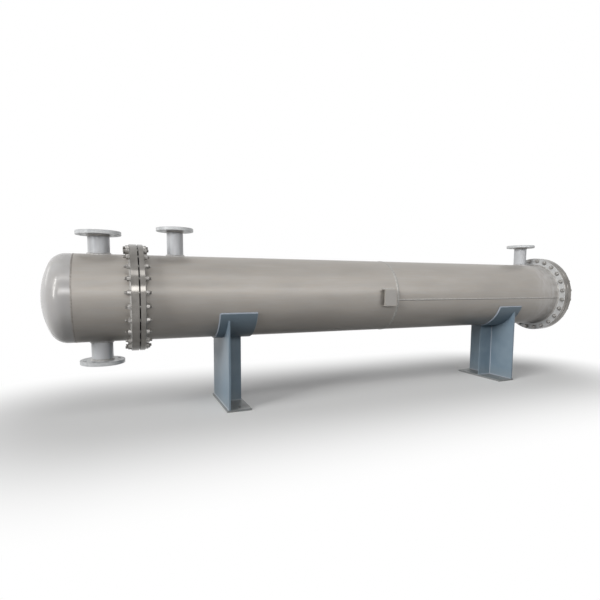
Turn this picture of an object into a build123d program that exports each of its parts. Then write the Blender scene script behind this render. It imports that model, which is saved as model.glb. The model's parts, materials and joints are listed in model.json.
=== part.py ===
from build123d import *
import os
from dataclasses import dataclass
from math import atan2, cos, degrees, radians, sin, sqrt

os.makedirs("parts", exist_ok=True)

# A horizontal steam generator of stainless steel: a shell-and-tube vessel on two saddles.
# Units are millimetres. +X runs along the vessel from the dished head to the rear cover,
# +Z is up, and the origin is on the floor under the middle of the vessel.

# Driving dimensions of the barrel
shell_od = 466.0
shell_wall = 8.0
axis_height = 643.0
front_course_length = 1528.0
rear_course_length = 1490.0

# Driving dimensions of the channel, the short chamber at the front
channel_length = 266.0
head_straight_length = 34.0
crown_radius = 407.0
knuckle_radius = 77.7
partition_thickness = 10.0

# Driving dimensions of the two bolted body joints
body_flange_width = 57.0
body_bolt_offset = 37.0
body_bolt_count = 24
body_bolt_hole = 18.0
body_rim_chamfer = 1.5
channel_flange_thickness = 37.5
tubesheet_thickness = 26.0
rear_flange_thickness = 26.5
rear_cover_thickness = 34.5
gasket_thickness = 5.0
gasket_width = 18.0
gasket_offset = 4.0
barrel_end_recess = 9.0

# Driving dimensions of the saddles
base_plate_length = 142.0
base_plate_width = 416.0
base_plate_thickness = 12.0
web_width = 416.0
web_thickness = 10.0
web_edge_distance = 11.0
rib_thickness = 10.0
rib_edge_distance = 8.0
pad_length = 210.0
pad_thickness = 8.0
pad_half_wrap = 69.0
front_saddle_distance = 487.0
rear_saddle_distance = 482.0
anchor_hole = 22.0
anchor_hole_spacing = 316.0

# Driving dimensions of the bracket that carries the rating plate
bracket_width = 92.0
bracket_height = 106.0
bracket_sheet = 3.0
bracket_standoff = 26.0
bracket_drop = 5.0
bracket_to_weld = 29.0
rating_plate_margin = 5.0
rating_plate_thickness = 1.0

# The space left beside a welded seat, on the radius
weld_gap = 0.3


@dataclass(frozen=True)
class Nozzle:
    """A pipe stub with a flat flange, set into the barrel from above or below."""

    name: str
    host: str
    near_end: str
    distance: float
    upward: bool
    pipe_od: float
    pipe_wall: float
    projection: float
    flange_od: float
    flange_thickness: float
    bolt_circle: float
    face_od: float

    @property
    def reach(self):
        """How far the flange's face stands from the vessel's axis."""
        return shell_od / 2 + self.projection

    @property
    def station(self):
        """Where the nozzle's axis crosses the vessel's axis, measured from the end it is near."""
        if self.near_end == "front":
            return barrel_starts[self.host] + self.distance
        return x_rear_flange - self.distance


# Values shared by the nozzle flanges
nozzle_bolt_count = 8
nozzle_bolt_hole = 18.0
nozzle_face_height = 2.0
nozzle_rim_chamfer = 1.5

# Distances run from the barrel's front end, or from the rear flange for the nozzle beside it
large_pipe = dict(
    pipe_od=108.0, pipe_wall=4.0, projection=120.0, flange_od=224.0,
    flange_thickness=22.0, bolt_circle=180.0, face_od=158.0
)
small_pipe = dict(
    pipe_od=89.0, pipe_wall=4.0, projection=155.0, flange_od=202.0,
    flange_thickness=20.0, bolt_circle=160.0, face_od=138.0
)
nozzles = [
    Nozzle("channel_top_nozzle", "channel_barrel", "front", 120.0, True, **large_pipe),
    Nozzle("channel_bottom_nozzle", "channel_barrel", "front", 120.0, False, **large_pipe),
    Nozzle("shell_front_nozzle", "shell_front_course", "front", 175.5, True, **small_pipe),
    Nozzle("shell_rear_nozzle", "shell_rear_course", "rear", 156.0, True, **small_pipe),
]

# Sizes worked out from the driving dimensions
shell_radius = shell_od / 2
bore_radius = shell_radius - shell_wall
knuckle_height = bore_radius - knuckle_radius
crown_offset = sqrt((crown_radius - knuckle_radius) ** 2 - knuckle_height**2)
crown_turn = degrees(atan2(crown_offset, knuckle_height))
head_inner_depth = crown_radius - crown_offset
head_outer_depth = head_inner_depth + shell_wall
seat_radius = shell_radius + weld_gap
body_flange_radius = shell_radius + body_flange_width
body_bolt_radius = shell_radius + body_bolt_offset
gasket_inner_radius = shell_radius + gasket_offset
gasket_outer_radius = gasket_inner_radius + gasket_width
pad_inner_radius = seat_radius
pad_outer_radius = pad_inner_radius + pad_thickness
saddle_cut_radius = pad_outer_radius + weld_gap

# Stations along X, each one measured on from the piece before it
overall_length = (
    head_outer_depth + head_straight_length + channel_length + channel_flange_thickness
    + gasket_thickness + tubesheet_thickness + front_course_length + rear_course_length
    + rear_flange_thickness + gasket_thickness + rear_cover_thickness
)
x_head_tip = -overall_length / 2
x_head_tangent = x_head_tip + head_outer_depth
x_crown_centre = x_head_tangent + crown_offset
x_head_seam = x_head_tangent + head_straight_length
x_channel_flange = x_head_seam + channel_length
x_girth_gasket = x_channel_flange + channel_flange_thickness
x_tubesheet = x_girth_gasket + gasket_thickness
x_front_course = x_tubesheet + tubesheet_thickness
x_mid_weld = x_front_course + front_course_length
x_rear_flange = x_mid_weld + rear_course_length
x_rear_gasket = x_rear_flange + rear_flange_thickness
x_rear_cover = x_rear_gasket + gasket_thickness

barrel_starts = {
    "channel_barrel": x_head_seam,
    "shell_front_course": x_front_course,
    "shell_rear_course": x_mid_weld,
}
barrel_ends = {
    "channel_barrel": x_girth_gasket - barrel_end_recess,
    "shell_front_course": x_mid_weld,
    "shell_rear_course": x_rear_gasket - barrel_end_recess,
}

vessel_axis = Axis((0, 0, axis_height), (1, 0, 0))
long_plane = Plane(origin=(0, 0, axis_height), x_dir=(1, 0, 0), z_dir=(0, -1, 0))


def cross_plane(x):
    """The plane across the vessel at x, with its own x along +Y and its own y up."""
    return Plane(origin=(x, 0, axis_height), x_dir=(0, 1, 0), z_dir=(1, 0, 0))


def nozzle_plane(nozzle, height):
    """The plane across a nozzle, this far from the vessel's axis and facing outwards."""
    side = 1 if nozzle.upward else -1
    return Plane(
        origin=(nozzle.station, 0, axis_height + side * height),
        x_dir=(1, 0, 0), z_dir=(0, 0, side)
    )


# The dished head: a flat crown arc and a tight knuckle arc, of even wall, then a straight skirt
with BuildPart() as channel_head:
    with BuildSketch(long_plane):
        with BuildLine():
            for wall in (0, shell_wall):
                CenterArc(
                    (x_head_tangent, knuckle_height), knuckle_radius + wall, 90, crown_turn
                )
                CenterArc(
                    (x_crown_centre, 0), crown_radius + wall, 90 + crown_turn, 90 - crown_turn
                )
                Line(
                    (x_head_tangent, bore_radius + wall), (x_head_seam, bore_radius + wall)
                )
            Line((x_head_tip, 0), (x_head_tip + shell_wall, 0))
            Line((x_head_seam, bore_radius), (x_head_seam, shell_radius))
        make_face()
    revolve(axis=vessel_axis)
channel_head.part.label = "channel_head"
export_step(channel_head.part, "parts/channel_head.step")

# The three rolled lengths of barrel, each with the openings for its nozzles
for barrel_name, x_start in barrel_starts.items():
    with BuildPart() as barrel:
        with BuildSketch(cross_plane(x_start)):
            Circle(shell_radius)
            Circle(bore_radius, mode=Mode.SUBTRACT)
        extrude(amount=barrel_ends[barrel_name] - x_start)
        for nozzle in nozzles:
            if nozzle.host == barrel_name:
                with BuildSketch(nozzle_plane(nozzle, 0)):
                    Circle(nozzle.pipe_od / 2 + weld_gap)
                extrude(amount=shell_od, mode=Mode.SUBTRACT)
    barrel.part.label = barrel_name
    export_step(barrel.part, f"parts/{barrel_name}.step")

# The plate that parts the channel into an upper and a lower chamber, cut to the head's inside
with BuildPart() as pass_partition:
    with BuildSketch(Plane.XY.offset(axis_height)):
        with BuildLine():
            CenterArc(
                (x_crown_centre, 0), crown_radius - weld_gap,
                90 + crown_turn, 180 - 2 * crown_turn
            )
            for side in (1, -1):
                CenterArc(
                    (x_head_tangent, side * knuckle_height), knuckle_radius - weld_gap,
                    side * 90, side * crown_turn
                )
                Line(
                    (x_head_tangent, side * (bore_radius - weld_gap)),
                    (x_tubesheet, side * (bore_radius - weld_gap)),
                )
            Line(
                (x_tubesheet, bore_radius - weld_gap), (x_tubesheet, weld_gap - bore_radius)
            )
        make_face()
    extrude(amount=partition_thickness / 2, both=True)
pass_partition.part.label = "pass_partition"
export_step(pass_partition.part, "parts/pass_partition.step")


# The discs and rings of the two body joints, with bolt holes that straddle the centre lines
@dataclass(frozen=True)
class BodyDisc:
    """A round plate of a body joint; a ring has a bore and a cover has none."""

    name: str
    x_start: float
    thickness: float
    bore_radius: float


body_discs = [
    BodyDisc("channel_flange", x_channel_flange, channel_flange_thickness, seat_radius),
    BodyDisc("tubesheet", x_tubesheet, tubesheet_thickness, 0.0),
    BodyDisc("rear_flange", x_rear_flange, rear_flange_thickness, seat_radius),
    BodyDisc("rear_cover", x_rear_cover, rear_cover_thickness, 0.0),
]
for disc in body_discs:
    with BuildPart() as body_disc:
        with BuildSketch(cross_plane(disc.x_start)):
            Circle(body_flange_radius)
        extrude(amount=disc.thickness)
        rims = body_disc.edges().filter_by(GeomType.CIRCLE)
        chamfer(rims, length=body_rim_chamfer)
        with BuildSketch(cross_plane(disc.x_start)):
            with PolarLocations(
                body_bolt_radius, body_bolt_count, start_angle=180 / body_bolt_count
            ):
                Circle(body_bolt_hole / 2)
            if disc.bore_radius > 0:
                Circle(disc.bore_radius)
        extrude(amount=disc.thickness, mode=Mode.SUBTRACT)
    body_disc.part.label = disc.name
    export_step(body_disc.part, f"parts/{disc.name}.step")

# The gaskets, inside the bolt circle, that hold the discs of each joint apart
for gasket_name, x_gasket in (("girth_gasket", x_girth_gasket), ("rear_gasket", x_rear_gasket)):
    with BuildPart() as gasket:
        with BuildSketch(cross_plane(x_gasket)):
            Circle(gasket_outer_radius)
            Circle(gasket_inner_radius, mode=Mode.SUBTRACT)
        extrude(amount=gasket_thickness)
    gasket.part.label = gasket_name
    export_step(gasket.part, f"parts/{gasket_name}.step")

# The nozzles: each pipe is trimmed flush with the inside of the barrel
for nozzle in nozzles:
    with BuildPart() as neck:
        with BuildSketch(nozzle_plane(nozzle, 0)):
            Circle(nozzle.pipe_od / 2)
            Circle(nozzle.pipe_od / 2 - nozzle.pipe_wall, mode=Mode.SUBTRACT)
        extrude(amount=nozzle.reach)
        with BuildSketch(cross_plane(nozzle.station - nozzle.pipe_od)):
            Circle(bore_radius)
        extrude(amount=2 * nozzle.pipe_od, mode=Mode.SUBTRACT)
    neck.part.label = f"{nozzle.name}_neck"
    export_step(neck.part, f"parts/{nozzle.name}_neck.step")

    plate_thickness = nozzle.flange_thickness - nozzle_face_height
    with BuildPart() as flange:
        with BuildSketch(nozzle_plane(nozzle, nozzle.reach - nozzle.flange_thickness)):
            Circle(nozzle.flange_od / 2)
        extrude(amount=plate_thickness)
        chamfer(flange.edges().filter_by(GeomType.CIRCLE), length=nozzle_rim_chamfer)
        with BuildSketch(nozzle_plane(nozzle, nozzle.reach - nozzle_face_height)):
            Circle(nozzle.face_od / 2)
        extrude(amount=nozzle_face_height)
        with BuildSketch(nozzle_plane(nozzle, nozzle.reach - nozzle.flange_thickness)):
            Circle(nozzle.pipe_od / 2 + weld_gap)
            with PolarLocations(
                nozzle.bolt_circle / 2, nozzle_bolt_count, start_angle=180 / nozzle_bolt_count
            ):
                Circle(nozzle_bolt_hole / 2)
        extrude(amount=nozzle.flange_thickness, mode=Mode.SUBTRACT)
    flange.part.label = f"{nozzle.name}_flange"
    export_step(flange.part, f"parts/{nozzle.name}_flange.step")

# The bracket stands off the viewer's side of the barrel, beside the middle weld
x_bracket = x_mid_weld - bracket_to_weld - bracket_width
z_bracket = axis_height - bracket_drop
bracket_depth = bracket_standoff + shell_wall
with BuildPart() as nameplate_bracket:
    with BuildSketch(Plane(origin=(x_bracket, 0, z_bracket), x_dir=(0, 1, 0), z_dir=(1, 0, 0))):
        with Locations((-shell_radius - bracket_standoff, 0)):
            Rectangle(
                bracket_depth, bracket_height, align=(Align.MIN, Align.CENTER)
            )
        with Locations((-shell_radius - bracket_standoff + bracket_sheet, 0)):
            Rectangle(
                bracket_depth, bracket_height - 2 * bracket_sheet,
                align=(Align.MIN, Align.CENTER), mode=Mode.SUBTRACT
            )
    extrude(amount=bracket_width)
    with BuildSketch(cross_plane(x_bracket)):
        Circle(seat_radius)
    extrude(amount=bracket_width, mode=Mode.SUBTRACT)
nameplate_bracket.part.label = "nameplate_bracket"
export_step(nameplate_bracket.part, "parts/nameplate_bracket.step")

# The bare rating plate lies on the bracket
with BuildPart() as nameplate:
    with BuildSketch(
        Plane(
            origin=(x_bracket + bracket_width / 2, -shell_radius - bracket_standoff, z_bracket),
            x_dir=(1, 0, 0), z_dir=(0, -1, 0)
        )
    ):
        Rectangle(
            bracket_width - 2 * rating_plate_margin, bracket_height - 2 * rating_plate_margin
        )
    extrude(amount=rating_plate_thickness)
nameplate.part.label = "nameplate"
export_step(nameplate.part, "parts/nameplate.step")

# The saddles: the web stands near the outer edge and the rib points to the vessel's middle
saddles = {
    "front_saddle": (x_front_course + front_saddle_distance, 1),
    "rear_saddle": (x_rear_flange - rear_saddle_distance, -1),
}
web_face_offset = base_plate_length / 2 - web_edge_distance - web_thickness
rib_end_offset = base_plate_length / 2 - rib_edge_distance
anchor_offset = (base_plate_length / 2 - web_face_offset) / 2
for saddle_name, (x_saddle, inward) in saddles.items():
    with BuildPart() as base:
        with BuildSketch(Plane.XY):
            with Locations((x_saddle, 0)):
                Rectangle(base_plate_length, base_plate_width)
            with Locations((x_saddle + inward * anchor_offset, 0)):
                with GridLocations(0, anchor_hole_spacing, 1, 2):
                    Circle(anchor_hole / 2, mode=Mode.SUBTRACT)
        extrude(amount=base_plate_thickness)
    base.part.label = f"{saddle_name}_base"
    export_step(base.part, f"parts/{saddle_name}_base.step")

    x_web_face = x_saddle - inward * web_face_offset
    web_bottom = base_plate_thickness - axis_height
    with BuildPart() as web:
        with BuildSketch(cross_plane(x_web_face)):
            with Locations((0, web_bottom)):
                Rectangle(web_width, -web_bottom, align=(Align.CENTER, Align.MIN))
            Circle(saddle_cut_radius, mode=Mode.SUBTRACT)
        extrude(amount=-inward * web_thickness)
    web.part.label = f"{saddle_name}_web"
    export_step(web.part, f"parts/{saddle_name}_web.step")

    rib_length = web_face_offset + rib_end_offset
    with BuildPart() as rib:
        with BuildSketch(Plane.XY.offset(base_plate_thickness)):
            with Locations((x_web_face, 0)):
                Rectangle(
                    rib_length, rib_thickness,
                    align=(Align.MIN if inward > 0 else Align.MAX, Align.CENTER)
                )
        extrude(amount=-web_bottom - bore_radius)
        with BuildSketch(cross_plane(x_web_face)):
            Circle(saddle_cut_radius)
        extrude(amount=inward * rib_length, mode=Mode.SUBTRACT)
    rib.part.label = f"{saddle_name}_rib"
    export_step(rib.part, f"parts/{saddle_name}_rib.step")

    with BuildPart() as pad:
        with BuildSketch(cross_plane(x_saddle - pad_length / 2)):
            with BuildLine():
                CenterArc((0, 0), pad_outer_radius, -90 - pad_half_wrap, 2 * pad_half_wrap)
                CenterArc((0, 0), pad_inner_radius, -90 - pad_half_wrap, 2 * pad_half_wrap)
                for end in (-1, 1):
                    angle = radians(-90 + end * pad_half_wrap)
                    Line(
                        (pad_inner_radius * cos(angle), pad_inner_radius * sin(angle)),
                        (pad_outer_radius * cos(angle), pad_outer_radius * sin(angle)),
                    )
            make_face()
        extrude(amount=pad_length)
    pad.part.label = f"{saddle_name}_pad"
    export_step(pad.part, f"parts/{saddle_name}_pad.step")
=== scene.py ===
"""Looks of a horizontal stainless steam generator on two saddles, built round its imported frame.

Every length is in metres, in the frame's own axes: +X runs from the dished head to the rear
cover, the viewer's side is -Y, +Z is up, and the floor is at zero.
"""

import json
import logging
import math
import random
from dataclasses import dataclass, field
from enum import Enum
from functools import partial
from typing import Any, Callable, Iterator, Sequence

import bmesh
import bpy
from mathutils import Matrix, Vector


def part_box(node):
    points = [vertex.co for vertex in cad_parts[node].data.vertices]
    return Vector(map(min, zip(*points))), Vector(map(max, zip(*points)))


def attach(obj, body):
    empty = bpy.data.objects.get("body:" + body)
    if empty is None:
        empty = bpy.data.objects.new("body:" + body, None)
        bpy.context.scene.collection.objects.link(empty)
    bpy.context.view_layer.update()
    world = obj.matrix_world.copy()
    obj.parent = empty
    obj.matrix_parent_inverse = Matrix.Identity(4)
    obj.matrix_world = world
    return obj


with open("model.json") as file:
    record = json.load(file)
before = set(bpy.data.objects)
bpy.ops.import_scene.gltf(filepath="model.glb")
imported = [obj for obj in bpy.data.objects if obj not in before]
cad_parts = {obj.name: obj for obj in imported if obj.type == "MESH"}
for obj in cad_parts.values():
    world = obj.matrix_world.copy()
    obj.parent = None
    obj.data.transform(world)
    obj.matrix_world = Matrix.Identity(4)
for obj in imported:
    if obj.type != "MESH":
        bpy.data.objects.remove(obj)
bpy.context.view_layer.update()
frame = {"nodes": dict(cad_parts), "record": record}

LOG = logging.getLogger("steam_generator")
ROOT = "root"
UP = Vector((0.0, 0.0, 1.0))
ALONG = Vector((1.0, 0.0, 0.0))
MM_PER_METRE = 1000.0
BAR_SHARP = 40.0
WELD_SHARP = 60.0

Colour = tuple[float, float, float, float]
Pair = tuple[float, float]
Triple = tuple[float, float, float]
Socket = bpy.types.NodeSocket
Section = tuple[Vector, Vector, Vector]
Toes = Callable[[float], Section]


class Slot(Enum):
    """The record's material slots."""

    SHELL = "stainless_shell"
    HEAD = "stainless_head"
    MACHINED = "machined_stainless"
    PIPE = "stainless_pipe"
    FORGED = "forged_stainless"
    GASKET = "gasket"
    PAINT = "saddle_paint"
    BASE = "base_plate_steel"
    BRACKET = "bracket_sheet"
    PLATE = "rating_plate"


def linear(code: str) -> Colour:
    """Turns an sRGB hex colour into the linear values that a shader takes.

    Args:
        code: Six hex digits.

    Returns:
        Linear red, green and blue, and an alpha of one.
    """
    shares = [int(code[start:start + 2], 16) / 255 for start in (0, 2, 4)]
    bent = [s / 12.92 if s <= 0.04045 else ((s + 0.055) / 1.055) ** 2.4 for s in shares]
    return (bent[0], bent[1], bent[2], 1.0)


def add_node(
    tree: bpy.types.NodeTree,
    kind: str,
    inputs: dict[str | int, Any] | None = None,
    **settings: Any,
) -> bpy.types.Node:
    """Adds one shader node with its settings, values and links.

    Args:
        tree: The node tree that gets the node.
        kind: The node's type, without the words that all types start with.
        inputs: A value or an output socket for each named or numbered input.
        settings: Properties of the node itself.

    Returns:
        The new node.
    """
    node = tree.nodes.new(f"ShaderNode{kind}")
    for name, value in settings.items():
        setattr(node, name, value)
    for name, value in (inputs or {}).items():
        if isinstance(value, Socket):
            tree.links.new(value, node.inputs[name])
        else:
            node.inputs[name].default_value = value
    return node


def add_object(name: str, data: bpy.types.ID) -> bpy.types.Object:
    """Adds an object to the scene.

    Args:
        name: Its name.
        data: Its mesh, lamp or camera.

    Returns:
        The new object.
    """
    made = bpy.data.objects.new(name, data)
    bpy.context.scene.collection.objects.link(made)
    return made


def bare_tree(owner: bpy.types.Material | bpy.types.World) -> bpy.types.NodeTree:
    """Gives a material or a world an empty node tree.

    Args:
        owner: The material or the world.

    Returns:
        The tree.
    """
    owner.use_nodes = True
    owner.node_tree.nodes.clear()
    return owner.node_tree


@dataclass
class Recipe:
    """A material in the making: its node tree and the patterns laid over it."""

    name: str
    material: bpy.types.Material = field(init=False)
    tree: bpy.types.NodeTree = field(init=False)
    place: Socket = field(init=False)

    def __post_init__(self) -> None:
        """Starts the material, placed in metres in the frame's axes."""
        self.material = bpy.data.materials.new(self.name)
        self.tree = bare_tree(self.material)
        self.place = add_node(self.tree, "TexCoord").outputs["Object"]

    def mottle(
        self,
        size_mm: float | Triple,
        low: float = 0.0,
        high: float = 1.0,
        spread: float = 0.15,
        place: Socket | None = None,
    ) -> Socket:
        """Lays soft patches of a real size over the surface.

        Args:
            size_mm: How large a patch is, all round or along each axis.
            low: The value in the darkest patches.
            high: The value in the lightest patches.
            spread: How far from the middle the noise reaches those values; less is harder.
            place: Other coordinates than the frame's, in metres.

        Returns:
            The pattern's value.
        """
        sizes = (size_mm,) * 3 if isinstance(size_mm, float) else size_mm
        scale = [MM_PER_METRE / size for size in sizes]
        spot = add_node(self.tree, "Mapping", {"Vector": place or self.place, "Scale": scale})
        noise = add_node(
            self.tree, "TexNoise",
            {"Vector": spot.outputs[0], "Scale": 1.0, "Detail": 3.0, "Roughness": 0.55},
        )
        levels = {0: noise.outputs[0], 1: 0.5 - spread, 2: 0.5 + spread, 3: low, 4: high}
        return add_node(self.tree, "MapRange", levels).outputs[0]

    def radius(self, centre: Vector) -> Socket:
        """Measures the distance from the vessel's axis, so that marks run round it.

        Args:
            centre: A point on the axis.

        Returns:
            Coordinates whose X is that distance.
        """
        across = Vector((0.0, 1.0, 1.0))
        off = add_node(self.tree, "VectorMath", {0: self.place, 1: centre}, operation="SUBTRACT")
        flat = add_node(
            self.tree, "VectorMath", {0: off.outputs[0], 1: across}, operation="MULTIPLY"
        )
        reach = add_node(self.tree, "VectorMath", {0: flat.outputs[0]}, operation="LENGTH")
        return add_node(self.tree, "CombineXYZ", {"X": reach.outputs["Value"]}).outputs[0]

    def layers(self, ground: str, *coats: tuple[Socket, str]) -> Socket:
        """Lays colours over each other, each where its pattern is strong.

        Args:
            ground: The colour underneath, as hex digits.
            coats: The pattern and the colour of each layer, from the lowest up.

        Returns:
            The colour that shows.
        """
        shown = linear(ground)
        for pattern, colour in coats:
            shown = add_node(
                self.tree, "Mix", {0: pattern, 6: shown, 7: linear(colour)}, data_type="RGBA"
            ).outputs[2]
        return shown

    def zone(
        self, axis: str, start: float, end: float, low: float = 0.0, high: float = 1.0
    ) -> Socket:
        """Marks off a part of the vessel along one of the frame's axes.

        Args:
            axis: The axis's letter.
            start: Where the change starts, in metres.
            end: Where it is complete.
            low: The value before the start.
            high: The value past the end.

        Returns:
            The zone's value.
        """
        spot = add_node(self.tree, "SeparateXYZ", {0: self.place}).outputs[axis]
        levels = {0: spot, 1: start, 2: end, 3: low, 4: high}
        return add_node(self.tree, "MapRange", levels).outputs[0]

    def finish(
        self,
        colour: Socket,
        roughness: Socket,
        metallic: float | Socket = 0.0,
        relief: Socket | None = None,
        relief_mm: float = 0.0,
    ) -> bpy.types.Material:
        """Joins the patterns in the material's shader.

        Args:
            colour: The surface's colour.
            roughness: Its roughness.
            metallic: How much of it answers light as bare metal.
            relief: The pattern that stands up from it.
            relief_mm: How far that pattern stands up.

        Returns:
            The finished material.
        """
        inputs = {"Base Color": colour, "Roughness": roughness, "Metallic": metallic}
        if relief is not None:
            bump = add_node(
                self.tree, "Bump",
                {"Strength": 1.0, "Distance": relief_mm / MM_PER_METRE, "Height": relief},
            )
            inputs["Normal"] = bump.outputs[0]
        shader = add_node(self.tree, "BsdfPrincipled", inputs)
        add_node(self.tree, "OutputMaterial", {"Surface": shader.outputs[0]})
        return self.material


@dataclass(frozen=True)
class PickledSheet:
    """Stainless sheet or pipe, rolled, then pickled and passivated in acid.

    The acid leaves a dull silver skin, so its gloss is broad and it shows faint cloudy
    patches, drawn out along the rolling direction, where the bath took more or less. The
    real grain is a fraction of a millimetre; it is drawn coarser, to show.
    """

    name: str
    pale: str
    dark: str
    warm: str
    metallic: float = 0.26
    roughness: Pair = (0.35, 0.42)
    cloud_mm: Triple = (420.0, 120.0, 120.0)
    streak_mm: Triple = (160.0, 9.0, 9.0)
    streak_share: float = 0.5
    grain_mm: Triple = (14.0, 3.0, 3.0)
    grain_rise_mm: float = 0.012

    def coats(self, recipe: Recipe) -> list[tuple[Socket, str]]:
        """Lays out the acid's cloudy patches and the warmer streaks.

        Args:
            recipe: The material in the making.

        Returns:
            The pattern and the colour of each layer, from the lowest up.
        """
        cloud = recipe.mottle(self.cloud_mm)
        streak = recipe.mottle(self.streak_mm, 0.0, self.streak_share)
        return [(cloud, self.pale), (streak, self.warm)]

    def material(self) -> bpy.types.Material:
        """Makes the finish."""
        recipe = Recipe(self.name)
        colour = recipe.layers(self.dark, *self.coats(recipe))
        rough = recipe.mottle(self.cloud_mm, *self.roughness)
        grain = recipe.mottle(self.grain_mm)
        return recipe.finish(colour, rough, self.metallic, grain, self.grain_rise_mm)


@dataclass(frozen=True)
class RolledShell(PickledSheet):
    """Pickled stainless plate, rolled into the shell and buffed beside its rear flange.

    Buffing the weld's surroundings leaves a paler band there, broken into short arcs that
    run round the shell.
    """

    buffed: str = "BFBDBB"
    buffed_from: float = 1.48
    buffed_fade: float = 0.15
    arc_mm: Triple = (26.0, 70.0, 70.0)
    arc_low: float = 0.25

    def coats(self, recipe: Recipe) -> list[tuple[Socket, str]]:
        """Lays the buffed band over the sheet's own layers.

        Args:
            recipe: The material in the making.

        Returns:
            The pattern and the colour of each layer, from the lowest up.
        """
        arc = recipe.mottle(self.arc_mm, self.arc_low)
        reach = recipe.zone("X", self.buffed_from, self.buffed_from + self.buffed_fade)
        band = add_node(recipe.tree, "Math", {0: arc, 1: reach}, operation="MULTIPLY")
        return [*super().coats(recipe), (band.outputs[0], self.buffed)]


@dataclass(frozen=True)
class TurnedPlate:
    """Stainless plate turned on a lathe, smooth on its rim and coarsely faced on its flats.

    The rim is bright and mirrors the room in bands along it. The faces are duller, with
    fine rings about the axis, and their paler colour is partly painted light: it stands in
    for the bright end light that the flat faces catch. The real rings are a fifth of a
    millimetre apart; they are drawn coarser, to show.
    looks along the axis.
    """

    name: str
    pale: str
    dark: str
    # The flat faces' colour, paler than the rim's partly as painted light for the light they
    # catch.
    faced: str
    groove: str
    centre: Vector
    rim_metallic: float = 0.95
    faced_metallic: float = 0.35
    rim_roughness: float = 0.14
    faced_roughness: float = 0.45
    faced_from: float = 0.75
    faced_full: float = 0.95
    ring_mm: float = 5.0
    ring_share: float = 0.7
    ring_rise_mm: float = 0.01
    stain_mm: float = 70.0

    def material(self) -> bpy.types.Material:
        """Makes the finish."""
        recipe = Recipe(self.name)
        tree = recipe.tree
        turns = recipe.radius(self.centre)
        ring = recipe.mottle(self.ring_mm, 0.0, self.ring_share, place=turns)
        stain = recipe.mottle(self.stain_mm)
        normal = add_node(tree, "TexCoord").outputs["Normal"]
        lean = add_node(tree, "SeparateXYZ", {0: normal}).outputs["X"]
        facing = add_node(tree, "Math", {0: lean}, operation="ABSOLUTE").outputs[0]
        squarely = {0: facing, 1: self.faced_from, 2: self.faced_full}
        flat = add_node(tree, "MapRange", squarely).outputs[0]
        rough, metal = (
            add_node(tree, "MapRange", {0: flat, 3: rim, 4: faced}).outputs[0]
            for rim, faced in (
                (self.rim_roughness, self.faced_roughness),
                (self.rim_metallic, self.faced_metallic),
            )
        )
        cut = add_node(tree, "Math", {0: flat, 1: ring}, operation="MULTIPLY").outputs[0]
        # The faced colour laid here is painted light in part: it stands in for the light that the
        # flat faces catch.
        colour = recipe.layers(
            self.dark, (stain, self.pale), (flat, self.faced), (cut, self.groove)
        )
        return recipe.finish(colour, rough, metal, ring, self.ring_rise_mm)


@dataclass(frozen=True)
class ForgedFlange:
    """A forged stainless flange, blasted and rough turned on its rim.

    Handling leaves small bright bruises and darker spots on the dull blasted skin.
    """

    name: str
    pale: str
    dark: str
    bruise: str
    metallic: float = 0.4
    roughness: Pair = (0.32, 0.50)
    patch_mm: float = 60.0
    spot_mm: float = 16.0
    spot_levels: Pair = (-0.4, 0.6)
    spot_spread: float = 0.35
    spot_rise_mm: float = 0.01

    def material(self) -> bpy.types.Material:
        """Makes the finish."""
        recipe = Recipe(self.name)
        patch = recipe.mottle(self.patch_mm)
        spot = recipe.mottle(self.spot_mm, *self.spot_levels, self.spot_spread)
        colour = recipe.layers(self.dark, (patch, self.pale), (spot, self.bruise))
        rough = recipe.mottle(self.spot_mm, *self.roughness)
        return recipe.finish(colour, rough, self.metallic, spot, self.spot_rise_mm)


@dataclass(frozen=True)
class MachineryPaint:
    """Alkyd machinery enamel over blasted steel.

    It is satin, with a faint orange peel from the spray gun, drawn a little coarser than
    the real one, and dust low down, near the floor.
    """

    name: str
    coat: str
    worn: str
    dust: str
    roughness: Pair = (0.37, 0.50)
    peel_mm: float = 4.0
    peel_rise_mm: float = 0.03
    cloud_mm: float = 130.0
    dust_rise: float = 0.09
    dust_share: float = 0.45

    def material(self) -> bpy.types.Material:
        """Makes the finish."""
        recipe = Recipe(self.name)
        cloud = recipe.mottle(self.cloud_mm)
        settled = recipe.zone("Z", 0.0, self.dust_rise, self.dust_share, 0.0)
        colour = recipe.layers(self.coat, (cloud, self.worn), (settled, self.dust))
        rough = recipe.mottle(self.cloud_mm, *self.roughness)
        peel = recipe.mottle(self.peel_mm)
        return recipe.finish(colour, rough, relief=peel, relief_mm=self.peel_rise_mm)


@dataclass(frozen=True)
class BrushedWeld:
    """Bare stainless weld metal, or bar, wire brushed.

    It is bright where the brush took it, and a grey tint of heat or scale is left between.
    """

    name: str
    crest: str
    tint: str
    metallic: float = 0.6
    roughness: Pair = (0.30, 0.44)
    fleck_mm: float = 9.0

    def material(self) -> bpy.types.Material:
        """Makes the finish."""
        recipe = Recipe(self.name)
        colour = recipe.layers(self.tint, (recipe.mottle(self.fleck_mm), self.crest))
        return recipe.finish(
            colour, recipe.mottle(self.fleck_mm, *self.roughness), self.metallic
        )


@dataclass(frozen=True)
class WoundGasket:
    """A spiral-wound gasket: soft black graphite between thin turns of stainless strip.

    Seen from its edge, it is near black with hair-thin bright lines. The real turns are
    under a millimetre apart; they are drawn coarser, to show.
    """

    name: str
    filler: str
    strip: str
    centre: Vector
    roughness: Pair = (0.5, 0.7)
    grit_mm: float = 6.0
    turn_mm: float = 1.6
    turn_spread: float = 0.1

    def material(self) -> bpy.types.Material:
        """Makes the finish."""
        recipe = Recipe(self.name)
        turns = recipe.radius(self.centre)
        line = recipe.mottle(self.turn_mm, spread=self.turn_spread, place=turns)
        colour = recipe.layers(self.filler, (line, self.strip))
        return recipe.finish(colour, recipe.mottle(self.grit_mm, *self.roughness))


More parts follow.
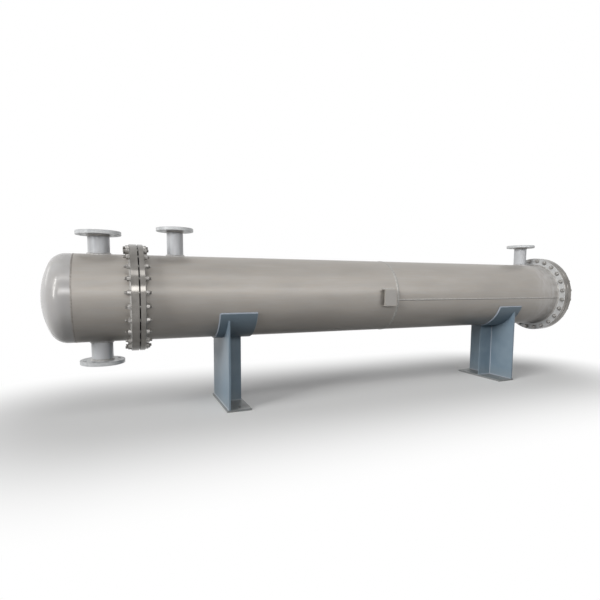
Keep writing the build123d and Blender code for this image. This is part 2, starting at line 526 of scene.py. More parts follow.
@dataclass(frozen=True)
class Finishes:
    """Every finish of the vessel, ready to put on."""

    slots: dict[Slot, bpy.types.Material]
    weld: bpy.types.Material
    ground_weld: bpy.types.Material
    seam: bpy.types.Material
    painted_weld: bpy.types.Material
    fastener: bpy.types.Material

    @classmethod
    def make(cls, centre: Vector) -> "Finishes":
        """Makes every finish.

        Args:
            centre: A point on the vessel's axis.

        Returns:
            The finishes.
        """
        slots = {
            Slot.SHELL: RolledShell("rolled_pickled_stainless", "AEAAA5", "A19D98", "A89F94"),
            Slot.HEAD: PickledSheet(
                "pressed_pickled_stainless", "B4B3B2", "AAA8A7", "ACA9A5",
                roughness=(0.21, 0.28), metallic=0.27, streak_mm=(30.0, 60.0, 60.0),
                cloud_mm=(150.0, 150.0, 150.0), grain_rise_mm=0.0,
            ),
            # The third colour, for the faced flats, is paler partly as painted light for the
            # light they catch.
            Slot.MACHINED: TurnedPlate(
                "lathe_turned_stainless", "8B8884", "777470", "CDCECE", "B3B3B2", centre
            ),
            Slot.PIPE: PickledSheet(
                "pickled_stainless_pipe", "BCBEC1", "AAACAF", "B2B1B0",
                cloud_mm=(60.0, 60.0, 140.0), streak_mm=(9.0, 9.0, 90.0),
            ),
            Slot.FORGED: ForgedFlange("blasted_forged_stainless", "C4C6C7", "B2B4B5", "DCDCDA"),
            Slot.GASKET: WoundGasket("spiral_wound_graphite", "232323", "6B6965", centre),
            Slot.PAINT: MachineryPaint("blue_grey_alkyd_enamel", "6F808D", "7A8A96", "85898A"),
            Slot.BASE: MachineryPaint(
                "dusty_alkyd_enamel", "737A7E", "7F8384", "8A8A87", dust_rise=0.05,
                dust_share=0.6,
            ),
            Slot.BRACKET: PickledSheet(
                "pickled_stainless_sheet", "AFABA5", "A29E98", "A69D93",
                cloud_mm=(50.0, 50.0, 50.0),
            ),
            Slot.PLATE: PickledSheet(
                "brushed_stainless_plate", "ADAAA6", "A5A29E", "A8A4A0",
                roughness=(0.37, 0.44), cloud_mm=(60.0, 60.0, 60.0),
                streak_mm=(3.0, 3.0, 70.0),
            ),
        }
        return cls(
            slots={slot: finish.material() for slot, finish in slots.items()},
            weld=BrushedWeld("brushed_weld_metal", "C2C1BF", "A6A4A2", 0.45).material(),
            ground_weld=BrushedWeld("ground_weld_metal", "B4B2AE", "96938F", 0.35).material(),
            seam=BrushedWeld("flush_ground_seam", "96918C", "7B7671").material(),
            # Lighter than the saddles' enamel: a painted highlight for the light that the welds
            # along the pad's edges and corners catch.
            painted_weld=MachineryPaint(
                "enamel_over_weld_painted_highlight", "8E98A3", "9AA2AC", "9A9C9D"
            ).material(),
            fastener=BrushedWeld(
                "cold_drawn_stainless_bar", "B7B5B2", "8A8783", roughness=(0.26, 0.40),
                metallic=0.65, fleck_mm=14.0,
            ).material(),
        )


@dataclass
class Maker:
    """Collects the points and faces of a joined mesh and turns them into a piece."""

    name: str
    points: list[Vector] = field(default_factory=list)
    faces: list[list[int]] = field(default_factory=list)

    def skin(self, loops: Sequence[Sequence[Vector]], ring: bool) -> None:
        """Lays a skin over a row of closed loops.

        Args:
            loops: The loops, each with as many points.
            ring: True where the last loop joins the first, or else both ends are closed.
        """
        start = len(self.points)
        count = len(loops[0])
        for loop in loops:
            self.points.extend(loop)
        for i in range(len(loops) if ring else len(loops) - 1):
            here = start + i * count
            there = start + ((i + 1) % len(loops)) * count
            for j in range(count):
                k = (j + 1) % count
                self.faces.append([here + j, here + k, there + k, there + j])
        if not ring:
            last = start + (len(loops) - 1) * count
            self.faces.append(list(range(start, start + count)))
            self.faces.append(list(range(last, last + count)))

    def turn(
        self,
        place: Matrix,
        profile: Sequence[Pair],
        sides: int,
        shape: Callable[[float, float], float] | None = None,
    ) -> None:
        """Turns a closed body about the local X axis.

        Args:
            place: Where the body stands.
            profile: Pairs of distance along the axis and radius, from end to end.
            sides: How many points go round.
            shape: Gives the radius at an angle, for a body that isn't round.
        """
        loops = []
        for along, radius in profile:
            loop = []
            for i in range(sides):
                angle = 2 * math.pi * i / sides
                reach = shape(radius, angle) if shape else radius
                spot = Vector((along, reach * math.cos(angle), reach * math.sin(angle)))
                loop.append(place @ spot)
            loops.append(loop)
        self.skin(loops, False)

    def piece(
        self, material: bpy.types.Material, sharp: float = WELD_SHARP
    ) -> None:
        """Makes the piece and seats it on the vessel's only body.

        Args:
            material: Its finish.
            sharp: Edges that turn by more than this many degrees stay crisp.
        """
        mesh = bpy.data.meshes.new(self.name)
        mesh.from_pydata([tuple(point) for point in self.points], [], self.faces)
        work = bmesh.new()
        work.from_mesh(mesh)
        bmesh.ops.recalc_face_normals(work, faces=work.faces)
        work.to_mesh(mesh)
        work.free()
        shade(mesh, sharp)
        mesh.materials.append(material)
        made = add_object(self.name, mesh)
        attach(made, ROOT)
        LOG.info("%s: %d faces", self.name, len(mesh.polygons))


def shade(mesh: bpy.types.Mesh, sharp: float) -> None:
    """Shades a mesh smooth except across its sharp edges.

    Args:
        mesh: The mesh.
        sharp: The angle in degrees from which an edge counts as sharp.
    """
    mesh.polygons.foreach_set("use_smooth", [True] * len(mesh.polygons))
    mesh.set_sharp_from_angle(angle=math.radians(sharp))
    mesh.update()


@dataclass(frozen=True)
class Vessel:
    """The main sizes and places of the vessel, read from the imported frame."""

    axis: float
    radius: float
    head_seam: float
    channel_flange: Pair
    tubesheet: Pair
    mid_weld: float
    rear_flange: Pair
    rear_cover: Pair
    flange_radius: float

    @classmethod
    def read(cls) -> "Vessel":
        """Reads the sizes from the frame."""
        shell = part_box("shell_front_course")
        spans = {
            name: tuple(corner.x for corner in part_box(name))
            for name in ("channel_flange", "tubesheet", "rear_flange", "rear_cover")
        }
        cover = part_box("rear_cover")
        return cls(
            axis=(shell[0].z + shell[1].z) / 2,
            radius=(shell[1].y - shell[0].y) / 2,
            head_seam=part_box("channel_head")[1].x,
            mid_weld=shell[1].x,
            flange_radius=(cover[1].z - cover[0].z) / 2,
            **spans,
        )

    def spot(self, x: float, radius: float, angle: float) -> Vector:
        """A point about the vessel's axis.

        Args:
            x: The distance along the vessel.
            radius: The distance from the axis.
            angle: Radians from straight up, positive towards the viewer.

        Returns:
            The point.
        """
        return Vector((x, -radius * math.sin(angle), self.axis + radius * math.cos(angle)))

    def outwards(self, angle: float) -> Vector:
        """The direction away from the axis at an angle from straight up."""
        return Vector((0.0, -math.sin(angle), math.cos(angle)))


@dataclass(frozen=True)
class Stud:
    """A full-threaded M16 stud with a heavy nut and a washer on each side of a joint."""

    radius: float = 0.0080
    pitch: float = 0.0020
    thread_depth: float = 0.0010
    projection: float = 0.0290
    play: float = 0.0025
    end_taper: float = 0.0030
    tip_length: float = 0.0015
    tip_bevel: float = 0.0012
    sides: int = 16
    nut_height: float = 0.0148
    nut_flats: float = 0.0240
    nut_face_radius: float = 0.01128
    nut_bore_radius: float = 0.0084
    nut_bevel: float = 0.0022
    nut_bevel_steps: int = 3
    nut_sides: int = 36
    washer_radius: float = 0.0150
    washer_height: float = 0.0028
    washer_edge: float = 0.0005
    washer_sides: int = 24

    def thread(self, start: float, end: float) -> Iterator[Pair]:
        """Walks the crests and roots of the thread between two places.

        Args:
            start: Where it starts.
            end: Where it ends.

        Yields:
            Pairs of distance and radius.
        """
        turns = max(2, round(abs(end - start) / self.pitch))
        step = (end - start) / turns
        for i in range(turns):
            yield start + i * step, self.radius
            yield start + (i + 0.5) * step, self.radius - self.thread_depth
        yield end, self.radius

    def hexagon(self, radius: float, angle: float) -> float:
        """Cuts a round section back to six flats.

        Args:
            radius: The round section's radius.
            angle: The direction in radians.

        Returns:
            The radius in that direction.
        """
        sector = math.radians(60)
        off = (angle + sector / 2) % sector - sector / 2
        return min(radius, self.nut_flats / 2 / math.cos(off))

    def washer(self, maker: Maker, place: Matrix, start: float, way: int) -> None:
        """Adds one washer with a bevelled edge.

        Args:
            maker: The joint's mesh.
            place: The stud's frame.
            start: Where the joint's face is.
            way: Which way it builds up from there, -1 or 1.
        """
        end = start + way * self.washer_height
        profile = [
            (start, self.washer_radius),
            (end - way * self.washer_edge, self.washer_radius),
            (end, self.washer_radius - self.washer_edge),
        ]
        maker.turn(place, profile, self.washer_sides)

    def nut(self, maker: Maker, place: Matrix, start: float, way: int) -> None:
        """Adds one nut with a bevelled outer face.

        Args:
            maker: The joint's mesh.
            place: The stud's frame, turned as far as the nut is.
            start: Where the washer's face is.
            way: Which way it builds up from there, -1 or 1.
        """
        corner = self.nut_flats / 2 / math.cos(math.radians(30))
        end = start + way * self.nut_height
        flank = end - way * self.nut_bevel
        profile = [(start, corner), (flank, corner)]
        for i in range(1, self.nut_bevel_steps + 1):
            share = i / self.nut_bevel_steps
            reach = corner + (self.nut_face_radius - corner) * share
            profile.append((flank + (end - flank) * share, reach))
        profile.append((end, self.nut_bore_radius))
        maker.turn(place, profile, self.nut_sides, self.hexagon)

    def add(self, maker: Maker, place: Matrix, grip: float, chance: random.Random) -> None:
        """Adds one stud with its nuts and washers.

        Args:
            maker: The joint's mesh.
            place: The stud's frame at the joint's front face, with X along it.
            grip: The thickness that it clamps.
            chance: Seeded draws for the turn of each nut and the play of each stud.
        """
        play = chance.uniform(-self.play, self.play)
        front = -self.projection + play
        back = grip + self.projection + play
        seat = self.washer_height + self.nut_height
        core = self.radius - self.thread_depth
        tip = core - self.tip_bevel
        profile = [(front, tip), (front + self.tip_length, core)]
        profile += self.thread(front + self.end_taper, -seat)
        profile += self.thread(grip + seat, back - self.end_taper)
        profile += [(back - self.tip_length, core), (back, tip)]
        maker.turn(place, profile, self.sides)
        for face, way in ((0.0, -1), (grip, 1)):
            self.washer(maker, place, face, way)
            spin = Matrix.Rotation(chance.uniform(0, 2 * math.pi), 4, "X")
            self.nut(maker, place @ spin, face + way * self.washer_height, way)


@dataclass
class BodyJoint:
    """The ring of studs that clamps one of the two body joints."""

    name: str
    span: Pair
    vessel: Vessel
    seed: int
    stud: Stud = Stud()
    count: int = 24
    rim_distance: float = 0.020

    def build(self, finishes: Finishes) -> None:
        """Builds the studs, nuts and washers as one joined mesh.

        Args:
            finishes: The vessel's finishes.
        """
        chance = random.Random(self.seed)
        maker = Maker(f"{self.name}_studs_and_nuts")
        pitch_radius = self.vessel.flange_radius - self.rim_distance
        grip = self.span[1] - self.span[0]
        for i in range(self.count):
            angle = 2 * math.pi * (i + 0.5) / self.count
            spot = self.vessel.spot(self.span[0], pitch_radius, angle)
            self.stud.add(maker, Matrix.Translation(spot), grip, chance)
        maker.piece(finishes.fastener, BAR_SHARP)


@dataclass(frozen=True)
class Bead:
    """A run of weld metal, with the ripples that the arc leaves in it."""

    width: float = 0.012
    height: float = 0.0016
    ripple_pitch: float = 0.0070
    ripple_height: float = 0.0004
    ripple_bow: float = 0.35
    ripple_steps: int = 4
    least_steps: int = 8
    sink: float = 0.0008
    across_points: int = 7

    def ripple(self, distance: float, across: float) -> float:
        """The height of a ripple, whose crests bow forwards in the middle.

        Args:
            distance: How far along the run.
            across: The place across it, from -1 to 1.

        Returns:
            The added height.
        """
        bow = self.ripple_bow * self.width * (1 - across * across)
        return self.ripple_height * math.cos(2 * math.pi * (distance + bow) / self.ripple_pitch)

    def run(
        self, maker: Maker, length: float, toes: Toes, ring: bool, fillet: bool = False
    ) -> None:
        """Lays a bead between two toes.

        Args:
            maker: The mesh that gets it.
            length: The run's length.
            toes: Gives both toes at a share of the run, and for a seam the direction out of
                the surface, or for a fillet the corner.
            ring: True if the run closes on itself.
            fillet: True for a bead in a corner.
        """
        ripples = round(length / self.ripple_pitch)
        steps = max(self.least_steps, ripples * self.ripple_steps)
        loops = []
        for i in range(steps if ring else steps + 1):
            share = i / steps
            first, second, guide = toes(share)
            middle = (first + second) / 2
            out = (middle - guide).normalized() if fillet else guide
            loop = []
            for j in range(self.across_points):
                side = 2 * j / (self.across_points - 1) - 1
                rise = self.height + self.ripple(share * length, side)
                crown = out * (rise * (1 - side * side))
                loop.append(first.lerp(second, (side + 1) / 2) + crown)
            if fillet:
                loop.append(guide - out * self.sink)
            else:
                loop.append(second - out * self.sink)
                loop.append(first - out * self.sink)
            loops.append(loop)
        maker.skin(loops, ring)


@dataclass
class VesselWelds:
    """The welds of the barrel: round it, along it and at its flanges."""

    vessel: Vessel
    seam: Bead = Bead(width=0.018, height=0.0020)
    long_seam: Bead = Bead(width=0.011, height=0.0030)
    head_seam: Bead = Bead(width=0.008, height=0.0006)
    corner: Bead = Bead(height=0.0006, ripple_height=0.0002)
    flange_leg: float = 0.007
    rear_seam_angle: float = math.radians(95.2)
    front_seam_angle: float = math.radians(-55)
    channel_seam_angle: float = math.radians(-125)

    def round_seam(
        self, name: str, x: float, bead: Bead, material: bpy.types.Material
    ) -> None:
        """Builds a seam round the barrel.

        Args:
            name: The seam's name.
            x: Its place along the vessel.
            bead: Its section.
            material: Its finish.
        """
        maker = Maker(name)
        vessel = self.vessel
        half = bead.width / 2

        def toes(share: float) -> Section:
            """Gives the toes of the seam and the direction outwards."""
            angle = 2 * math.pi * share
            return (
                vessel.spot(x - half, vessel.radius, angle),
                vessel.spot(x + half, vessel.radius, angle),
                vessel.outwards(angle),
            )

        bead.run(maker, 2 * math.pi * vessel.radius, toes, True)
        maker.piece(material)

    def straight_seam(
        self, name: str, ends: Pair, angle: float, material: bpy.types.Material
    ) -> None:
        """Builds a seam along the barrel.

        Args:
            name: The seam's name.
            ends: Where it starts and ends.
            angle: Radians from straight up, positive towards the viewer.
            material: Its finish.
        """
        maker = Maker(name)
        vessel = self.vessel
        half = self.long_seam.width / 2 / vessel.radius

        def toes(share: float) -> Section:
            """Gives the toes of the seam and the direction outwards."""
            x = ends[0] + (ends[1] - ends[0]) * share
            return (
                vessel.spot(x, vessel.radius, angle - half),
                vessel.spot(x, vessel.radius, angle + half),
                vessel.outwards(angle),
            )

        self.long_seam.run(maker, ends[1] - ends[0], toes, False)
        maker.piece(material)

    def flange_fillet(
        self, name: str, x: float, way: int, material: bpy.types.Material
    ) -> None:
        """Builds the fillet where the barrel meets a flange's face.

        Args:
            name: The weld's name.
            x: The flange's face.
            way: The side of the face that the barrel is on, -1 or 1.
            material: Its finish.
        """
        maker = Maker(name)
        vessel = self.vessel

        def toes(share: float) -> Section:
            """Gives the toes and the corner of the fillet."""
            angle = 2 * math.pi * share
            return (
                vessel.spot(x + way * self.flange_leg, vessel.radius, angle),
                vessel.spot(x, vessel.radius + self.flange_leg, angle),
                vessel.spot(x, vessel.radius, angle),
            )

        self.corner.run(maker, 2 * math.pi * vessel.radius, toes, True, True)
        maker.piece(material)

    def build(self, finishes: Finishes) -> None:
        """Builds every weld of the barrel.

        Args:
            finishes: The vessel's finishes.
        """
        vessel = self.vessel
        leg = self.flange_leg
        weld = finishes.ground_weld
        self.round_seam("head_seam_weld", vessel.head_seam, self.head_seam, finishes.seam)
        self.round_seam("middle_seam_weld", vessel.mid_weld, self.seam, weld)
        rear = (vessel.mid_weld, vessel.rear_flange[0] - leg)
        front = (vessel.tubesheet[1] + leg, vessel.mid_weld)
        channel = (vessel.head_seam, vessel.channel_flange[0] - leg)
        for name, ends, angle in (
            ("rear_course", rear, self.rear_seam_angle),
            ("front_course", front, self.front_seam_angle),
            ("channel", channel, self.channel_seam_angle),
        ):
            self.straight_seam(f"{name}_seam_weld", ends, angle, weld)
        for name, x, way in (
            ("channel_flange", vessel.channel_flange[0], -1),
            ("tubesheet", vessel.tubesheet[1], 1),
            ("rear_flange", vessel.rear_flange[0], -1),
        ):
            self.flange_fillet(f"{name}_weld", x, way, weld)


@dataclass
class NozzleWelds:
    """The welds of one nozzle: a saddle-shaped one at the barrel and one under its flange."""

    name: str
    vessel: Vessel
    leg: float = 0.008
    bead: Bead = Bead(width=0.010, height=0.0010)

    def build(self, finishes: Finishes) -> None:
        """Builds both welds.

        Args:
            finishes: The vessel's finishes.
        """
        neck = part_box(f"{self.name}_neck")
        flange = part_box(f"{self.name}_flange")
        vessel = self.vessel
        x = (neck[0].x + neck[1].x) / 2
        pipe = (neck[1].x - neck[0].x) / 2
        way = 1 if flange[0].z > vessel.axis else -1
        back = min(abs(face.z - vessel.axis) for face in flange)

        def spot(radius: float, angle: float, height: float) -> Vector:
            """Gives a point about the nozzle's axis, out from the vessel's axis."""
            flat = Vector((x + radius * math.cos(angle), radius * math.sin(angle)))
            return flat.to_3d() + UP * (vessel.axis + way * height)

        def foot(radius: float, angle: float) -> float:
            """Gives the height at which the barrel's skin meets a radius."""
            return math.sqrt(vessel.radius ** 2 - (radius * math.sin(angle)) ** 2)

        def at_barrel(share: float) -> Section:
            """Gives the toes and the corner of the weld at the barrel."""
            angle = 2 * math.pi * share
            toe = pipe + self.leg
            return (
                spot(pipe, angle, foot(pipe, angle) + self.leg),
                spot(toe, angle, foot(toe, angle)),
                spot(pipe, angle, foot(pipe, angle)),
            )

        def at_flange(share: float) -> Section:
            """Gives the toes and the corner of the weld under the flange."""
            angle = 2 * math.pi * share
            return (
                spot(pipe, angle, back - self.leg),
                spot(pipe + self.leg, angle, back),
                spot(pipe, angle, back),
            )

        maker = Maker(f"{self.name}_welds")
        self.bead.run(maker, 2 * math.pi * pipe, at_barrel, True, True)
        self.bead.run(maker, 2 * math.pi * pipe, at_flange, True, True)
        maker.piece(finishes.weld)


@dataclass
class SaddleWelds:
    """The enamelled welds of one saddle: round its pad and along its web and its rib. Their
    enamel is lighter than the saddle's, a painted highlight for the light their edges catch.
    """

    name: str
    vessel: Vessel
    leg: float = 0.0045
    bead: Bead = Bead(width=0.006, height=0.0006)

    def build(self, finishes: Finishes) -> None:
        """Builds the welds.

        Args:
            finishes: The vessel's finishes.
        """
        maker = Maker(f"{self.name}_welds")
        self.pad_welds(maker)
        self.foot_welds(maker)
        maker.piece(finishes.painted_weld)

    def pad_welds(self, maker: Maker) -> None:
        """Lays the welds along the pad's four edges.

        Args:
            maker: The mesh that gets them.
        """
        vessel = self.vessel
        low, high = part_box(f"{self.name}_pad")
        outer = vessel.axis - low.z
        wrap = math.asin(min(1.0, high.y / outer))
        ends = (math.pi - wrap, math.pi + wrap)

        def round_toes(x: float, way: int, share: float) -> Section:
            """Gives the toes and the corner along a curved edge."""
            angle = ends[0] + (ends[1] - ends[0]) * share
            return (
                vessel.spot(x + way * self.leg, vessel.radius, angle),
                vessel.spot(x, outer, angle),
                vessel.spot(x, vessel.radius, angle),
            )

        def long_toes(angle: float, way: int, share: float) -> Section:
            """Gives the toes and the corner along a straight edge."""
            x = low.x + (high.x - low.x) * share
            return (
                vessel.spot(x, vessel.radius, angle + way * self.leg / vessel.radius),
                vessel.spot(x, outer, angle),
                vessel.spot(x, vessel.radius, angle),
            )

        round_length = 2 * wrap * vessel.radius
        for x, way in ((low.x, -1), (high.x, 1)):
            self.bead.run(maker, round_length, partial(round_toes, x, way), False, True)
        for angle, way in ((ends[0], -1), (ends[1], 1)):
            self.bead.run(maker, high.x - low.x, partial(long_toes, angle, way), False, True)

    def foot_welds(self, maker: Maker) -> None:
        """Lays the welds where the web and the rib stand on the base and meet each other.

        Args:
            maker: The mesh that gets them.
        """
        web_low, web_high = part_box(f"{self.name}_web")
        rib_low, rib_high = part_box(f"{self.name}_rib")
        floor = web_low.z
        for x, way in ((web_low.x, -1), (web_high.x, 1)):
            self.straight(
                maker, Vector((x, web_low.y, floor)), Vector((x, web_high.y, floor)),
                ALONG * way, UP,
            )
        if rib_high.x > web_high.x:
            inner, free, away = web_high.x, rib_high.x, ALONG
        else:
            inner, free, away = web_low.x, rib_low.x, -ALONG
        for y, way in ((rib_low.y, -1), (rib_high.y, 1)):
            side = Vector((0.0, way, 0.0))
            self.straight(
                maker, Vector((inner, y, floor)), Vector((free, y, floor)), side, UP
            )
            self.straight(
                maker, Vector((inner, y, floor)), Vector((inner, y, rib_high.z)), side, away
            )

    def straight(
        self, maker: Maker, start: Vector, end: Vector, one: Vector, other: Vector
    ) -> None:
        """Lays a fillet along a straight corner.

        Args:
            maker: The mesh that gets it.
            start: Where the corner starts.
            end: Where it ends.
            one: The direction of one leg.
            other: The direction of the other leg.
        """

        def toes(share: float) -> Section:
            """Gives the toes and the corner."""
            corner = start.lerp(end, share)
            return corner + one * self.leg, corner + other * self.leg, corner

        self.bead.run(maker, (end - start).length, toes, False, True)


@dataclass
class RatingPlate:
    """The bracket's welds to the barrel and the four drive screws of the bare plate."""

    vessel: Vessel
    leg: float = 0.005
    screw_radius: float = 0.0030
    screw_tip_radius: float = 0.0004
    screw_height: float = 0.0016
    screw_inset: float = 0.008
    screw_rings: int = 5
    screw_sides: int = 16
    bead: Bead = Bead(width=0.006, height=0.0006)

    def build(self, finishes: Finishes) -> None:
        """Builds the welds and the screws.

        Args:
            finishes: The vessel's finishes.
        """
        self.build_welds(finishes.weld)
        self.build_screws(finishes.fastener)

    def build_welds(self, material: bpy.types.Material) -> None:
        """Builds the welds where the bracket's two legs meet the barrel.

        Args:
            material: Their finish.
        """
        low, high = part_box("nameplate_bracket")
        vessel = self.vessel
        out = Vector((0.0, -self.leg, 0.0))

        def toes(angle: float, way: int, share: float) -> Section:
            """Gives the toes and the corner of a weld."""
            x = low.x + (high.x - low.x) * share
            corner = vessel.spot(x, vessel.radius, angle)
            foot = vessel.spot(x, vessel.radius, angle - way * self.leg / vessel.radius)
            return foot, corner + out, corner

        maker = Maker("nameplate_bracket_welds")
        for z, way in ((low.z, -1), (high.z, 1)):
            angle = math.acos((z - vessel.axis) / vessel.radius)
            self.bead.run(maker, high.x - low.x, partial(toes, angle, way), False, True)
        maker.piece(material)

    def build_screws(self, material: bpy.types.Material) -> None:
        """Builds the domed heads of the drive screws at the plate's corners.

        Args:
            material: Their finish.
        """
        low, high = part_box("nameplate")
        profile = [(0.0, self.screw_radius)]
        for i in range(1, self.screw_rings + 1):
            angle = math.radians(90) * i / self.screw_rings
            rim = max(self.screw_radius * math.cos(angle), self.screw_tip_radius)
            profile.append((self.screw_height * math.sin(angle), rim))
        maker = Maker("nameplate_screws")
        face = Matrix.Rotation(math.radians(-90), 4, "Z")
        for x in (low.x + self.screw_inset, high.x - self.screw_inset):
            for z in (low.z + self.screw_inset, high.z - self.screw_inset):
                place = Matrix.Translation((x, low.y, z)) @ face
                maker.turn(place, profile, self.screw_sides)
        maker.piece(material, BAR_SHARP)


@dataclass
class Dressing:
    """Gives each node of the frame its finish."""

    nodes: dict[str, bpy.types.Object]
    subparts: list[dict[str, str]]
    sharp: float = 25.0

    def build(self, finishes: Finishes) -> None:
        """Shades each node smooth and gives it the finish of its slot.

        Args:
            finishes: The vessel's finishes.
        """
        slots = {part["node"]: Slot(part["material_slot"]) for part in self.subparts}
        for name, node in self.nodes.items():
            shade(node.data, self.sharp)
            node.data.materials.clear()
            node.data.materials.append(finishes.slots[slots[name]])
            LOG.info("%s: %s", name, slots[name].value)


@dataclass(frozen=True)
class SoftBox:
    """A rectangular soft box, with its width, height and power in watts."""

    name: str
    place: Triple
    target: Triple
    size: Pair
    power: float

    def hang(self) -> None:
        """Hangs the soft box and points it at its target."""
        data = bpy.data.lights.new(self.name, "AREA")
        data.shape = "RECTANGLE"
        data.size, data.size_y = self.size
        data.energy = self.power
        lamp = add_object(self.name, data)
        lamp.location = self.place
        lamp.rotation_mode = "QUATERNION"
        aim = Vector(self.target) - Vector(self.place)
        lamp.rotation_quaternion = aim.to_track_quat("-Z", "Y")


@dataclass(frozen=True)
class FarLight:
    """A wide far light, such as the open end of a hall, that no bright metal mirrors.

    Its angles are in degrees, and its azimuth goes from +X towards +Y.
    """

    name: str
    azimuth: float
    elevation: float
    strength: float
    spread: float

    def shine(self) -> None:
        """Adds the light."""
        data = bpy.data.lights.new(self.name, "SUN")
        data.energy = self.strength
        data.angle = math.radians(self.spread)
        lamp = add_object(self.name, data)
        turn, rise = math.radians(self.azimuth), math.radians(self.elevation)
        source = Vector(
            (math.cos(rise) * math.cos(turn), math.cos(rise) * math.sin(turn), math.sin(rise))
        )
        lamp.rotation_mode = "QUATERNION"
        lamp.rotation_quaternion = (-source).to_track_quat("-Z", "Y")
        lamp.visible_glossy = False


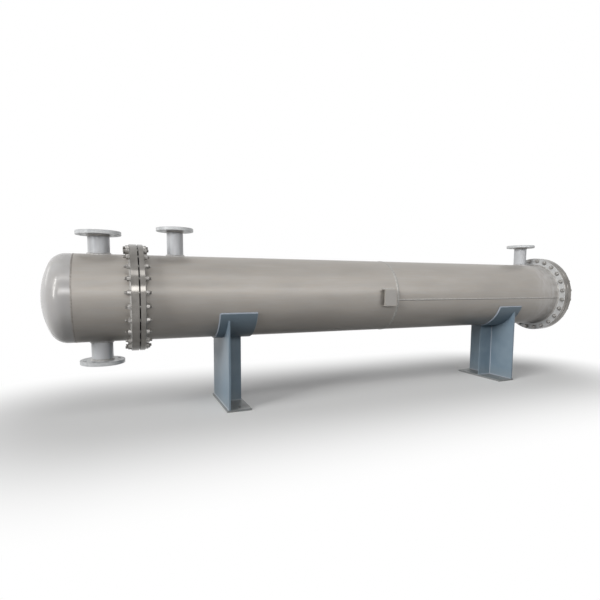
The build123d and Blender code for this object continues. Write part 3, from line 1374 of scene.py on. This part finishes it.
@dataclass
class Studio:
    """The floor, the light and the camera at the photograph's angle.

    The floor shows pale and bounces little light, as a hall's dark floor does. It turns
    white with the distance from the vessel's middle line, which fade_start and fade_end
    measure.
    """

    camera_place: Triple = (-1.4146, -2.5207, 0.7372)
    yaw: float = 0.3977
    pitch: float = -0.0901
    roll: float = 0.0052
    focal_share: float = 0.71247
    sensor: float = 36.0
    shift_up: float = 0.03333
    view_reach: float = 200.0
    floor_size: float = 60.0
    floor_colour: str = "DCDCDB"
    bounce_colour: str = "303030"
    half_length: float = 1.5
    fade_start: float = 0.25
    fade_end: float = 1.25
    base_white: float = 0.15
    sky_colour: str = "F4F5F8"
    sky_strength: float = 0.12
    soft_boxes: tuple[SoftBox, ...] = (
        SoftBox("overhead", (0.0, -2.2, 3.6), (0.0, 0.0, 0.6), (7.5, 0.7), 27.0),
        SoftBox("front_strip", (0.0, -5.0, 2.5), (0.0, 0.0, 0.6), (10.0, 0.9), 103.0),
        SoftBox("end_soft", (-5.2, -2.3, 2.5), (-1.5, 0.0, 0.7), (0.45, 3.4), 38.0),
        SoftBox("end_strip", (-5.6, 3.4, 2.3), (-1.7, 0.0, 0.7), (0.9, 2.0), 8.0),
    )
    open_end: FarLight = FarLight("open_end", 197.0, 19.0, 2.5, 26.0)

    def camera(self) -> None:
        """Sets the camera from its place, its angles and its focal length."""
        data = bpy.data.cameras.new("camera")
        data.sensor_width = self.sensor
        data.lens = self.focal_share * self.sensor
        data.shift_y = self.shift_up
        data.clip_end = self.view_reach
        camera = add_object("camera", data)
        level = Vector((math.cos(self.yaw), -math.sin(self.yaw), 0.0))
        heading = Vector((math.sin(self.yaw), math.cos(self.yaw), 0.0))
        forward = heading * math.cos(self.pitch) + UP * math.sin(self.pitch)
        upright = level.cross(forward)
        right = level * math.cos(self.roll) + upright * math.sin(self.roll)
        turn = Matrix((right, right.cross(forward), -forward)).transposed().to_4x4()
        camera.matrix_world = Matrix.Translation(self.camera_place) @ turn
        bpy.context.scene.camera = camera

    def seen(self, tree: bpy.types.NodeTree) -> Socket:
        """Tells what is looked at from what is only lit by.

        Args:
            tree: The node tree that asks.

        Returns:
            One for the camera, a reflection or a clear piece, and zero for other light.
        """
        path = add_node(tree, "LightPath").outputs
        shown = path["Is Camera Ray"]
        for ray in ("Is Glossy Ray", "Is Transmission Ray"):
            either = add_node(tree, "Math", {0: shown, 1: path[ray]}, operation="MAXIMUM")
            shown = either.outputs[0]
        return shown

    def world(self) -> None:
        """Makes a white background, and a plain soft sky as its light."""
        world = bpy.data.worlds.new("studio")
        bpy.context.scene.world = world
        tree = bare_tree(world)
        sky = add_node(
            tree, "Background", {"Color": linear(self.sky_colour), "Strength": self.sky_strength}
        )
        white = add_node(tree, "Background", {"Color": linear("FFFFFF"), "Strength": 1.0})
        mix = add_node(
            tree, "MixShader", {0: self.seen(tree), 1: sky.outputs[0], 2: white.outputs[0]}
        )
        add_node(tree, "OutputWorld", {"Surface": mix.outputs[0]})

    def distance(self, tree: bpy.types.NodeTree) -> Socket:
        """Measures how far the floor is from the vessel's middle line.

        Args:
            tree: The floor's node tree.

        Returns:
            The distance in metres.
        """
        place = add_node(tree, "TexCoord").outputs["Object"]
        side = add_node(tree, "VectorMath", {0: place}, operation="ABSOLUTE").outputs[0]
        line = (self.half_length, 0.0, 0.0)
        past = add_node(tree, "VectorMath", {0: side, 1: line}, operation="SUBTRACT").outputs[0]
        off = add_node(tree, "VectorMath", {0: past, 1: (0, 0, 0)}, operation="MAXIMUM")
        far = add_node(tree, "VectorMath", {0: off.outputs[0]}, operation="LENGTH")
        return far.outputs["Value"]

    def floor_material(self) -> bpy.types.Material:
        """Makes the floor's matt surface, which turns white far away."""
        material = bpy.data.materials.new("studio_floor")
        tree = bare_tree(material)
        seen = self.seen(tree)
        shades = {0: seen, 6: linear(self.bounce_colour), 7: linear(self.floor_colour)}
        colour = add_node(tree, "Mix", shades, data_type="RGBA")
        matt = add_node(tree, "BsdfDiffuse", {"Color": colour.outputs[2]})
        white = add_node(tree, "Emission", {"Strength": 1.0})
        levels = {
            0: self.distance(tree), 1: self.fade_start, 2: self.fade_end, 3: self.base_white
        }
        fade = add_node(tree, "MapRange", levels, interpolation_type="SMOOTHSTEP")
        share = add_node(tree, "Math", {0: fade.outputs[0], 1: seen}, operation="MULTIPLY")
        mix = add_node(
            tree, "MixShader", {0: share.outputs[0], 1: matt.outputs[0], 2: white.outputs[0]}
        )
        add_node(tree, "OutputMaterial", {"Surface": mix.outputs[0]})
        return material

    def floor(self) -> None:
        """Lays the pale floor, which keeps the shadow."""
        half = self.floor_size / 2
        mesh = bpy.data.meshes.new("floor")
        corners = [(-half, -half, 0), (half, -half, 0), (half, half, 0), (-half, half, 0)]
        mesh.from_pydata(corners, [], [(0, 1, 2, 3)])
        mesh.materials.append(self.floor_material())
        floor = add_object("floor", mesh)

    def build(self) -> None:
        """Builds the whole studio."""
        bpy.context.scene.view_settings.view_transform = "Standard"
        self.camera()
        self.world()
        self.floor()
        for soft_box in self.soft_boxes:
            soft_box.hang()
        self.open_end.shine()


def main() -> None:
    """Builds the object in order and reports each piece."""
    logging.basicConfig(level=logging.INFO, format="%(message)s")
    vessel = Vessel.read()
    finishes = Finishes.make(Vector((0.0, 0.0, vessel.axis)))
    Dressing(frame["nodes"], frame["record"]["subparts"]).build(finishes)
    girth = (vessel.channel_flange[0], vessel.tubesheet[1])
    rear = (vessel.rear_flange[0], vessel.rear_cover[1])
    BodyJoint("girth_joint", girth, vessel, seed=7).build(finishes)
    rear_stud = Stud(projection=0.0210)
    BodyJoint("rear_joint", rear, vessel, seed=11, stud=rear_stud).build(finishes)
    VesselWelds(vessel).build(finishes)
    for name in ("channel_top", "shell_front", "shell_rear", "channel_bottom"):
        NozzleWelds(f"{name}_nozzle", vessel).build(finishes)
    for name in ("front_saddle", "rear_saddle"):
        SaddleWelds(name, vessel).build(finishes)
    RatingPlate(vessel).build(finishes)
    Studio().build()


if __name__ == "__main__":
    main()
